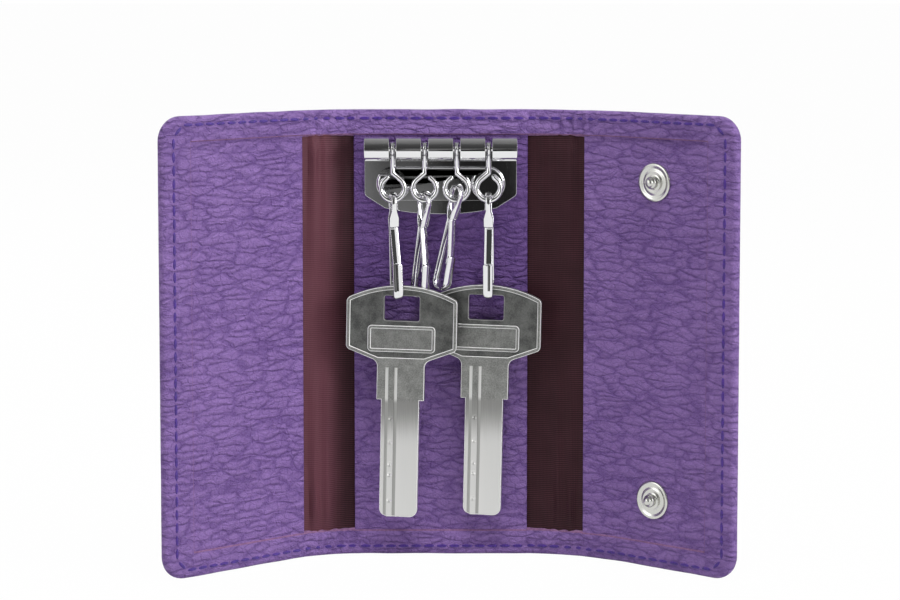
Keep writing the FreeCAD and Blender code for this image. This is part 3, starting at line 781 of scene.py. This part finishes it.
def lining_surface(along, up):
    """How the lining lies: flat under the facings, slack and puckered in the open strips between them."""
    strip = [ends for ends in LINING_STRIPS if ends[0] < along < ends[1]]
    if not strip:
        return LINING_REST
    low, high = strip[0]
    t = (along - low) / (high - low)
    outer = 1 - t if low < 0 else t
    slack = SLACK * math.sin(math.pi * outer) * (0.4 + outer)
    end = min(up, HEIGHT - up) - HEM_END
    pull = math.exp(-max(end, 0) / PULL_LENGTH)
    drift = 4 * noise.noise(Vector((along * 90, up * 25, 3))) + up * 40
    ripple = math.sin(math.tau * along / RIPPLE_PITCH + drift)
    wander = 3 * noise.noise(Vector((along * 60, up * 18, 9)))
    long_fold = math.sin(math.tau * along / LONG_FOLD_PITCH + wander)
    pleat = PLEAT * pull * sum(part * bell(outer, middle, width) for middle, width, part in PLEATS)
    folds = (RIPPLE * pull * ripple + LONG_FOLD * long_fold) * math.sin(math.pi * t) + pleat
    free = smooth_step(end, HEM_WALL / 2, FREE_LENGTH)
    lift = max(slack + folds, 0) * (HELD_SHARE + (1 - HELD_SHARE) * free)
    return LINING_REST - min(lift * (1 - BOW_PRESS * beside_bows(up)), HELD_LIFT + FREE_LIFT * free)


def lining_sheet():
    """The lining cloth, over the whole inside."""
    bm = bmesh.new()
    width = FLAT_END - FLAT_START - 2 * TUCK
    length = HEIGHT - 2 * TUCK
    across = int(width / (GRID_STEP / 4))
    upright = int(length / GRID_STEP)
    bmesh.ops.create_grid(bm, x_segments=across, y_segments=upright, size=0.5)
    bmesh.ops.scale(bm, vec=(width, length, 1), verts=bm.verts)
    bmesh.ops.rotate(bm, matrix=Matrix.Rotation(math.pi / 2, 3, "X"), verts=bm.verts)
    bmesh.ops.translate(bm, vec=((FLAT_START + FLAT_END) / 2, 0, HEIGHT / 2), verts=bm.verts)
    for vert in bm.verts:
        vert.co.y = lining_surface(vert.co.x, vert.co.z)
    bmesh.ops.solidify(bm, geom=bm.faces[:], thickness=LINING_THICKNESS)
    bmesh.ops.recalc_face_normals(bm, faces=bm.faces[:])
    return bm


def make_lining():
    nodes = {
        "left_flap": ["left_flap_lining"],
        "left_bend": ["left_spine_lining"],
        "centre": ["centre_lining"],
        "right_bend": ["right_spine_lining"],
        "right_flap": ["right_flap_lining"],
    }
    pieces = dress(lining_sheet(), "cloth", nodes, [CLOTH])
    for region, piece in pieces.items():
        low, high = REGIONS[region][:2]
        width = min(high, FLAT_END - TUCK) - max(low, FLAT_START + TUCK)


def seam_places():
    """The middle and heading of each stitch, along the seam that runs round the case."""
    low = Vector((FLAT_START + SEAM_SIDE, 0, SEAM_END))
    high = Vector((FLAT_END - SEAM_SIDE, 0, HEIGHT - SEAM_END))
    cut = SEAM_CORNER
    outline = [
        Vector((low.x + cut, 0, low.z)), Vector((high.x - cut, 0, low.z)),
        Vector((high.x, 0, low.z + cut)), Vector((high.x, 0, high.z - cut)),
        Vector((high.x - cut, 0, high.z)), Vector((low.x + cut, 0, high.z)),
        Vector((low.x, 0, high.z - cut)), Vector((low.x, 0, low.z + cut)),
    ]
    for start, end in zip(outline, outline[1:] + outline[:1]):
        run = end - start
        count = max(round(run.length / STITCH_PITCH), 1)
        for number in range(count):
            yield start + run * ((number + 0.5) / count), run.normalized()


def add_stitch(bm, middle, heading, surface):
    """One stitch: a short plump length of thread, sunk at its ends."""
    made = bmesh.ops.create_uvsphere(bm, u_segments=8, v_segments=6, radius=0.5)["verts"]
    bmesh.ops.scale(bm, vec=(STITCH_WIDTH, 2 * STITCH_RISE, STITCH_LENGTH), verts=made)
    angle = math.atan2(heading.x, heading.z) + 0.07 * noise.noise(middle * 900)
    bmesh.ops.rotate(bm, matrix=Matrix.Rotation(angle, 3, "Y"), verts=made)
    bmesh.ops.translate(bm, vec=middle + Vector((0, surface, 0)), verts=made)


def make_seam():
    """The seam's stitches, inside and outside, on each region's own piece."""
    for region, (low, high, *_) in REGIONS.items():
        bm = bmesh.new()
        for middle, heading in seam_places():
            if low <= middle.x < high:
                add_stitch(bm, middle, heading, hem_surface(middle.x, middle.z))
                add_stitch(bm, middle, heading, back_surface(middle.x, middle.z))
        fold_up(bm)
        hold(add_piece(f"{region}_stitches", bm, [THREAD]), region)


# Softenings of the metal's edges, and the angles from which an edge is softened.
PLATE_SOFT = 0.00010
ROD_SOFT = 0.00007
LOOP_SOFT = 0.00003
CLIP_SOFT = 0.00017
GATE_SOFT = 0.00013
SOCKET_SOFT = 0.00006
KEY_SOFT = 0.00015
METAL_SHARP = 32
KEY_SHARP = 45
LOOP_SHARP = 50


def soften(bm, softening, segments, sharp_degrees, spared=()):
    """Rounds the outer edges a little, so that they catch the light, and notes the new faces, which the key finish
    paints as worn edges with a painted highlight.
    """
    wear_and_highlight = bm.faces.layers.float.new("wear_and_highlight")
    limit = math.radians(sharp_degrees)
    outer = [edge for edge in bm.edges if edge.is_manifold and edge.is_convex and edge not in spared]
    sharp = [edge for edge in outer if edge.calc_face_angle(0) > limit]
    made = bmesh.ops.bevel(
        bm, geom=sharp, offset=softening, affect="EDGES", segments=segments, profile=0.5, material=-1,
        clamp_overlap=False,
    )
    for face in made["faces"]:
        face[wear_and_highlight] = 1.0


def welded(node):
    """A node's own surface, with its triangles joined into whole flat faces."""
    bm = bmesh.new()
    bm.from_mesh(frame["nodes"][node].data)
    bmesh.ops.remove_doubles(bm, verts=bm.verts[:], dist=WELD)
    bmesh.ops.dissolve_limit(bm, angle_limit=math.radians(0.5), verts=bm.verts[:], edges=bm.edges[:])
    return bm


MEMBERS = frame["record"]["behaviour"]["bodies"]
BODIES = {node: body for body, members in MEMBERS.items() for node in members}


def add_metal(name, node, bm, finish, flat=True):
    """A metal piece in place of its node. Flat faces are kept flat beside their rounded edges."""
    piece = add_piece(name, bm, [finish], CREASED if flat else ROUND)
    if flat:
        piece.modifiers.new("level_faces", "WEIGHTED_NORMAL").keep_sharp = True
    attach(piece, BODIES[node])
    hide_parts(node)


def make_metal(nodes, finish, softening, sharp_degrees=METAL_SHARP):
    """Metal pieces that keep their nodes' shapes, with softened edges."""
    for node in nodes:
        bm = welded(node)
        soften(bm, softening, 2, sharp_degrees)
        add_metal(f"{node}_plated", node, bm, finish)


STRIP_HALF = 0.00115
FOOT_START = 0.0002
FOOT_ROUND = 0.0015
FOOT_LEAST = 0.06


def width_kept(height):
    """The share of its width that a hook keeps near its foot, so that the end is round."""
    share = min(max((height - FOOT_START) / FOOT_ROUND, FOOT_LEAST), 1)
    return math.sqrt(1 - (1 - share) ** 2)


def make_strips(nodes, softening, round_foot):
    """Pieces of bent strip, with the place across their width noted for the finish."""
    for node in nodes:
        bm = welded(node)
        axis = max(bm.faces, key=lambda face: len(face.verts)).normal.copy()
        soften(bm, softening, 3, METAL_SHARP)
        places = [vert.co.dot(axis) for vert in bm.verts]
        middle = (min(places) + max(places)) / 2
        foot = min(vert.co.z for vert in bm.verts)
        across = bm.verts.layers.float.new("across")
        for vert, place in zip(bm.verts, places):
            vert[across] = (place - middle) / STRIP_HALF
            if round_foot:
                vert.co -= axis * (place - middle) * (1 - width_kept(vert.co.z - foot))
        add_metal(f"{node}_plated", node, bm, STRIP)


ROLL_RADIUS = 0.0028
ROLL_TURN = 305
SHEET = 0.0005
SLOT = 0.00165
SIDE_DROP = 0.0110
CORNER_HALF = 0.0130
CORNER_DROP = 0.0140
SHIELD_ROUND = 0.0006
SHIELD_BELLY = 0.0100


def add_shield(bm, low, high, roll):
    """The flat part of the key plate, from behind the roll down to its rounded point."""
    half = high.x
    outline = [
        (-half, roll.z), (-half, roll.z - SIDE_DROP), (-CORNER_HALF, roll.z - CORNER_DROP), (0, low.z),
        (CORNER_HALF, roll.z - CORNER_DROP), (half, roll.z - SIDE_DROP), (half, roll.z),
    ]
    points = [bm.verts.new((along, high.y, up)) for along, up in outline]
    bm.faces.new(points)
    options = {"affect": "VERTICES", "profile": 0.5, "material": -1}
    bmesh.ops.bevel(bm, geom=[points[3]], offset=SHIELD_BELLY, segments=10, **options)
    sides = [points[1], points[5]]
    bmesh.ops.bevel(bm, geom=sides, offset=SHIELD_ROUND, segments=4, **options)
    made = bmesh.ops.extrude_face_region(bm, geom=bm.faces[:])["geom"]
    bmesh.ops.translate(bm, vec=(0, -SHEET, 0), verts=only_verts(made))


def add_knuckle(bm, start, end, roll):
    """One length of the rolled top, turned from a strip of the sheet's section."""
    inside = ROLL_RADIUS - SHEET
    places = [(start, inside), (end, inside), (end, ROLL_RADIUS), (start, ROLL_RADIUS)]
    face = bm.faces.new([bm.verts.new((along, roll.y + reach, roll.z)) for along, reach in places])
    bmesh.ops.spin(
        bm, geom=face.verts[:] + face.edges[:] + [face], cent=roll, axis=(1, 0, 0), dvec=(0, 0, 0),
        angle=math.radians(ROLL_TURN), steps=48,
    )


def make_plate():
    """The key plate: a shield of sheet, with its top rolled forward in five knuckles."""
    low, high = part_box("key_plate")
    roll = Vector((0, low.y + ROLL_RADIUS, high.z - ROLL_RADIUS))
    loops = [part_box(f"loop_{n}") for n in range(1, 5)]
    slots = [(ends[0].x + ends[1].x) / 2 for ends in loops]
    bm = bmesh.new()
    add_shield(bm, low, high, roll)
    starts = [low.x] + [x + SLOT / 2 for x in slots]
    ends = [x - SLOT / 2 for x in slots] + [high.x]
    for start, end in zip(starts, ends):
        add_knuckle(bm, start, end, roll)
    bmesh.ops.recalc_face_normals(bm, faces=bm.faces[:])
    soften(bm, PLATE_SOFT, 2, METAL_SHARP)
    add_metal("key_plate_plated", "key_plate", bm, CHROME)


RIVET_CAP = 0.0010
RIVET_ROUND = 0.0008


def make_rivets():
    """The two rivets' low caps, flat in the middle with rounded rims."""
    low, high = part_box("plate_rivets")
    radius = (high.z - low.z) / 2
    bm = bmesh.new()
    bmesh.ops.create_cone(bm, cap_ends=True, segments=56, radius1=radius, radius2=radius, depth=RIVET_CAP)
    bmesh.ops.rotate(bm, matrix=Matrix.Rotation(math.pi / 2, 3, "X"), verts=bm.verts)
    rim = [edge for edge in bm.edges if all(vert.co.y < 0 for vert in edge.verts)]
    bmesh.ops.bevel(
        bm, geom=rim, offset=RIVET_ROUND, affect="EDGES", segments=6, profile=0.5, material=-1
    )
    middle = Vector((high.x - radius, low.y + RIVET_CAP / 2, low.z + radius))
    bmesh.ops.translate(bm, vec=middle, verts=bm.verts)
    bmesh.ops.duplicate(bm, geom=everything(bm))
    bmesh.ops.translate(bm, vec=(-2 * middle.x, 0, 0), verts=bm.verts[:len(bm.verts) // 2])
    add_metal("plate_rivets_plated", "plate_rivets", bm, CHROME)


GROOVE_LEVEL = 0.00033
GROOVE_LIMIT = 0.00060
KEY_SURFACE = 0.0001
FRAME_SHADE = 0.75
# How much of the worn edges' painted highlight is kept within the key's hole.
HOLE_WEAR_AND_HIGHLIGHT = 0.3
HOLE_DROP = 0.0053
HOLE_HALF_WIDTH = 0.0050
HOLE_HALF_HEIGHT = 0.0036
FRAME_DROP = 0.0124
FRAME_HALF_WIDTH = 0.0075
FRAME_HALF_HEIGHT = 0.0027


def mark_key(bm, middle, crown):
    """Notes how raised each face of a key is, and which are the floors of its grooves."""
    raised = bm.faces.layers.float.new("raised")
    groove = bm.faces.layers.float.new("groove")
    wear_and_highlight = bm.faces.layers.float["wear_and_highlight"]
    across = max(bm.faces, key=lambda face: face.calc_area()).normal.copy()
    levels = [vert.co.dot(across) for vert in bm.verts]
    low, high = min(levels), max(levels)
    for face in bm.faces:
        level = face.calc_center_median().dot(across)
        depth = min(high - level, level - low)
        flat = abs(face.normal.dot(across)) > FACING
        face[raised] = float(depth < KEY_SURFACE or not flat)
        if flat and depth > KEY_SURFACE and all(in_frame(vert.co, middle, crown) for vert in face.verts):
            face[raised] = FRAME_SHADE
        if flat and depth > GROOVE_LEVEL:
            face[groove] = 1.0
        # Less painted highlight on the worn edges within the hole's rim.
        if in_hole(face.calc_center_median(), middle, crown):
            face[wear_and_highlight] *= HOLE_WEAR_AND_HIGHLIGHT


def groove_edges(bm):
    """The edges along the key's grooves, which are as deep as no other step on it."""
    across = max(bm.faces, key=lambda face: face.calc_area()).normal.copy()
    found = set()
    for face in bm.faces:
        levels = [vert.co.dot(across) for vert in face.verts]
        if GROOVE_LEVEL < max(levels) - min(levels) < GROOVE_LIMIT:
            found.update(face.edges)
    return found


def in_hole(point, middle, crown):
    """Whether a point lies within the rim of the key's hole."""
    within = abs(point.x - middle) < HOLE_HALF_WIDTH
    return within and abs(crown - HOLE_DROP - point.z) < HOLE_HALF_HEIGHT


def in_frame(point, middle, crown):
    """Whether a point lies inside the raised frame on the key's head."""
    within = abs(point.x - middle) < FRAME_HALF_WIDTH
    return within and abs(crown - FRAME_DROP - point.z) < FRAME_HALF_HEIGHT


def make_keys():
    """The keys, with softened outer edges and sharp grooves."""
    for node in ("left_key", "right_key"):
        low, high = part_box(node)
        bm = welded(node)
        soften(bm, KEY_SOFT, 2, KEY_SHARP, groove_edges(bm))
        mark_key(bm, (low.x + high.x) / 2, high.z)
        add_metal(f"{node}_nickel", node, bm, KEY_METAL)


# How far from the stud's middle, and how high: the cap's rim, its rings, the neck and the ball.
STUD_PROFILE = [
    (0.0, 0.0), (0.00415, 0.0), (0.00445, 0.00024), (0.00428, 0.00048), (0.00372, 0.00050),
    (0.00340, 0.00026), (0.00300, 0.00020), (0.00272, 0.00040), (0.00238, 0.00044), (0.00196, 0.00032),
    (0.00150, 0.00036), (0.00122, 0.00062), (0.00140, 0.00100), (0.00150, 0.00140), (0.00140, 0.00180),
    (0.00112, 0.00202), (0.00096, 0.00222), (0.00086, 0.00252), (0.00062, 0.00274), (0.00030, 0.00284),
    (0.0, 0.00285),
]


def make_studs():
    """The press studs: a dished and ringed cap with a stepped ball, turned from one profile."""
    bm = bmesh.new()
    for up in (SNAP_UP, HEIGHT - SNAP_UP):
        base = Vector((STUD_ALONG, FACING_FRONT, up))
        line = [bm.verts.new(base + Vector((reach, -rise, 0))) for reach, rise in STUD_PROFILE]
        edges = [bm.edges.new(ends) for ends in zip(line, line[1:])]
        bmesh.ops.spin(
            bm, geom=line + edges, cent=base, axis=(0, 1, 0), dvec=(0, 0, 0), angle=math.tau, steps=56,
            use_merge=True,
        )
    bmesh.ops.remove_doubles(bm, verts=bm.verts[:], dist=WELD)
    bmesh.ops.recalc_face_normals(bm, faces=bm.faces[:])
    fold_up(bm)
    add_metal("snap_studs_plated", "snap_studs", bm, NICKEL, flat=False)


def finish_hidden_nodes():
    """The pieces between the layers keep their own shapes and get a fitting finish."""
    for node in ("rivet_washers", "stud_feet", "socket_caps"):
        mesh = frame["nodes"][node].data
        mesh.materials.clear()
        mesh.materials.append(NICKEL)


# Stage
FLOOR_SIZE = 6.0
FILL = 0.25
CAMERA_X = 0.00216
CAMERA_DISTANCE = 0.638
CAMERA_HEIGHT = 0.1433
CAMERA_PITCH = 5.35
CAMERA_LENS = 109.8
CAMERA_SHIFT = -0.11


def seen_directly(start):
    """1 for what the camera, mirrors and clear things see, 0 for light that falls on matt surfaces."""
    camera = start.node("ShaderNodeLightPath", {}, {}, "Is Camera Ray")
    seen = camera + camera.other("Is Glossy Ray") + camera.other("Is Transmission Ray")
    return seen.maths("MINIMUM", seen, 1.0)


def add_stage(name, bm, material):
    mesh = bpy.data.meshes.new(name)
    bm.to_mesh(mesh)
    bm.free()
    mesh.materials.append(material)
    thing = bpy.data.objects.new(name, mesh)
    bpy.context.scene.collection.objects.link(thing)
    return thing


def make_floor():
    """Pale matt floor that looks white, and still takes the object's shadow."""
    material, shader, start = new_finish("studio_floor", {})
    matt = start.node("ShaderNodeBsdfDiffuse", {}, {"Color": grey(0.8)})
    white = start.node("ShaderNodeEmission", {}, {"Color": grey(1.0), "Strength": 1.0})
    mixed = start.node("ShaderNodeMixShader", {}, {0: seen_directly(start) * 0.98, 1: matt, 2: white})
    connect(material.node_tree.nodes["Material Output"], {"Surface": mixed})
    material.node_tree.nodes.remove(shader)
    bm = bmesh.new()
    bmesh.ops.create_grid(bm, x_segments=1, y_segments=1, size=FLOOR_SIZE)
    add_stage("studio_floor", bm, material)


def metal_only(card):
    """Lets a card show in the metal, and take no part in the light on the rest."""
    for ray in ("camera", "diffuse", "shadow", "transmission"):
        setattr(card, f"visible_{ray}", False)


def dim_glow(name):
    constants = {"Base Color": grey(0.0), "Specular IOR Level": 0.0, "Emission Strength": 1.0}
    return new_finish(name, constants)


def make_card(name, middle, width, height):
    """A dark card before the case, in soft upright patches."""
    material, shader, start = dim_glow(name)
    patches = object_place(start).stretched((0.05, 0.05, 0.3)).noise(1.0)
    connect(shader, {"Emission Color": patches.between(0.42, 0.6).mix(grey(0.015), grey(0.19))})
    bm = bmesh.new()
    bmesh.ops.create_grid(bm, x_segments=1, y_segments=1, size=0.5)
    bmesh.ops.scale(bm, vec=(width, height, 1), verts=bm.verts)
    bmesh.ops.rotate(bm, matrix=Matrix.Rotation(math.pi / 2, 3, "X"), verts=bm.verts)
    bmesh.ops.translate(bm, vec=middle, verts=bm.verts)
    metal_only(add_stage(name, bm, material))


def make_arch(radius, half_width, start_degrees):
    """A dim arch over the case, from its front to its back, lighter behind."""
    material, shader, start = dim_glow("dim_arch")
    depth = start.node("ShaderNodeSeparateXYZ", {}, {"Vector": object_place(start)}, "Y")
    connect(shader, {"Emission Color": depth.between(-radius, radius).mix(grey(0.05), grey(0.42))})
    bm = bmesh.new()
    low = math.radians(start_degrees)
    front = Vector((0, -radius * math.cos(low), radius * math.sin(low)))
    ends = [bm.verts.new(front + Vector((side * half_width, 0, 0))) for side in (-1, 1)]
    edge = bm.edges.new(ends)
    bmesh.ops.spin(
        bm, geom=ends + [edge], cent=(0, 0, 0), axis=(-1, 0, 0), dvec=(0, 0, 0), angle=math.pi - low,
        steps=40,
    )
    metal_only(add_stage("dim_arch", bm, material))


def make_light(name, middle, toward, size, power):
    """A round soft light that looks toward a point."""
    lamp = bpy.data.lights.new(name, "AREA")
    lamp.shape = "DISK"
    lamp.size = size
    lamp.energy = power
    light = bpy.data.objects.new(name, lamp)
    light.location = middle
    light.rotation_mode = "QUATERNION"
    light.rotation_quaternion = (Vector(toward) - Vector(middle)).to_track_quat("-Z", "Y")
    bpy.context.scene.collection.objects.link(light)


def make_world(fill):
    """Soft fill from all sides, and a white background for the camera and the metal."""
    world = bpy.data.worlds.new("studio")
    bpy.context.scene.world = world
    world.use_nodes = True
    background = world.node_tree.nodes["Background"]
    background.inputs["Color"].default_value = grey(1.0)
    connect(background, {"Strength": seen_directly(Value(world.node_tree)) * (1 - fill) + fill})


def make_camera():
    """The camera that took the photo: long lens, slightly raised."""
    camera = bpy.data.cameras.new("photo_camera")
    camera.sensor_width = 36
    camera.lens = CAMERA_LENS
    camera.shift_y = CAMERA_SHIFT
    camera.clip_start = 0.01
    viewer = bpy.data.objects.new("photo_camera", camera)
    viewer.location = (CAMERA_X, -CAMERA_DISTANCE, CAMERA_HEIGHT)
    viewer.rotation_euler = (math.radians(90 - CAMERA_PITCH), 0, 0)
    bpy.context.scene.collection.objects.link(viewer)
    bpy.context.scene.camera = viewer
    bpy.context.scene.view_settings.view_transform = "Standard"


def make_stage():
    make_floor()
    make_world(FILL)
    middle = (0, -0.01, HEIGHT / 2)
    make_light("right_softbox", (0.85, -0.45, 0.40), middle, 0.5, 4.9)
    make_light("left_softbox", (-0.85, -0.50, 0.40), middle, 0.5, 0.9)
    make_light("top_softbox", (0.0, -0.35, 0.90), middle, 0.5, 4.8)
    make_light("back_softbox", (-0.3, 0.7, 0.7), middle, 0.6, 3.0)
    make_card("front_card", (0.0, -0.78, 0.14), 0.80, 0.28)
    make_card("low_card", (0.0, -0.30, 0.038), 0.10, 0.074)
    make_arch(0.80, 0.34, 12)
    make_camera()


make_cover()
make_facings()
make_lining()
make_seam()
make_plate()
make_rivets()
make_metal(["hinge_rod"], CHROME, ROD_SOFT)
make_metal([f"loop_{n}" for n in range(1, 5)], CHROME, LOOP_SOFT, LOOP_SHARP)
make_strips([f"clip_{n}" for n in range(1, 5)], CLIP_SOFT, True)
make_strips([f"gate_{n}" for n in range(1, 5)], GATE_SOFT, False)
make_metal(["snap_sockets"], NICKEL, SOCKET_SOFT)
make_studs()
make_keys()
finish_hidden_nodes()
make_stage()
